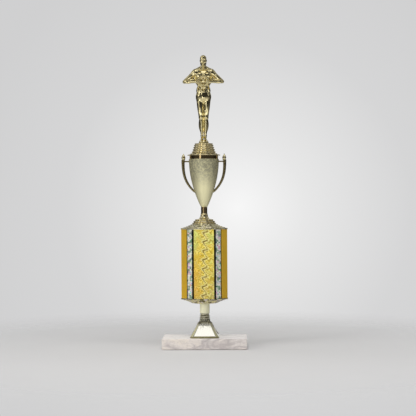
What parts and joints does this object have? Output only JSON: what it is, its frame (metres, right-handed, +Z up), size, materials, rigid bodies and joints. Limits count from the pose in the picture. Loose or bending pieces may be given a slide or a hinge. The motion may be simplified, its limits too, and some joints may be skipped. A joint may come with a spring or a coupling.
{
  "type": "column trophy",
  "caption": "Standing achievement trophy: marble base, flared riser, octagonal foil column, two-handled lidded cup and a gold figure holding a wreath.",
  "frame": {"origin": "centre of the underside of the felt sheet, on the surface the trophy stands on", "axes": "+Z up along the clamp rod, +X to the right seen from the front, the front faces -Y"},
  "size_m": [0.1524, 0.0762, 0.5313],
  "materials": {
    "felt": "thin pale grey felt sheet",
    "marble": "polished pale grey marble with soft beige veins",
    "zinc_steel": "zinc-plated steel hardware",
    "bright_gold": "vacuum-metallised bright gold plastic",
    "satin_gold_tube": "pale satin gold anodised tube",
    "black_plastic": "black extruded column",
    "patterned_gold_foil": "embossed iridescent gold foil",
    "prism_foil": "silver prism foil with small facets",
    "satin_gold_foil": "satin gold foil",
    "polished_gold_tube": "polished gold anodised metal",
    "hammered_gold": "satin pale gold spun metal, etched texture fading downward",
    "cast_gold": "polished cast metal, gold plated",
    "insert_brass": "turned brass",
    "figure_gold": "vacuum-metallised bright gold plastic casting"
  },
  "bodies": {
    "base": {"felt_sheet": "felt", "marble_base": "marble", "base_washer": "zinc_steel", "base_nut": "zinc_steel", "clamp_rod": "zinc_steel", "riser": "bright_gold", "spacer_tube": "satin_gold_tube", "top_washer": "zinc_steel", "top_nut": "zinc_steel"},
    "column": {"bottom_cap": "bright_gold", "column_tube": "black_plastic", "front_foil": "patterned_gold_foil", "left_prism_strip": "prism_foil", "right_prism_strip": "prism_foil", "wrap_foil": "satin_gold_foil", "top_cap": "bright_gold"},
    "cup": {"cup_foot": "bright_gold", "cup_stem": "polished_gold_tube", "cup_bowl": "hammered_gold", "cup_collar": "polished_gold_tube", "left_handle": "cast_gold", "right_handle": "cast_gold", "handle_rivets": "zinc_steel", "lid_brim": "bright_gold", "lid_riser": "bright_gold", "figure_stud": "zinc_steel"},
    "figure": {"figure_insert": "insert_brass", "figure": "figure_gold"}
  },
  "joints": [
    {"name": "column_turn", "type": "hinge", "parent": "base", "child": "column", "pos_m": [0, 0, 0.153], "axis": [0, 0, 1], "continuous": true},
    {"name": "cup_turn", "type": "hinge", "parent": "base", "child": "cup", "pos_m": [0, 0, 0.25], "axis": [0, 0, 1], "continuous": true},
    {"name": "figure_turn", "type": "hinge", "parent": "cup", "child": "figure", "pos_m": [0, 0, 0.372], "axis": [0, 0, 1], "continuous": true}
  ]
}
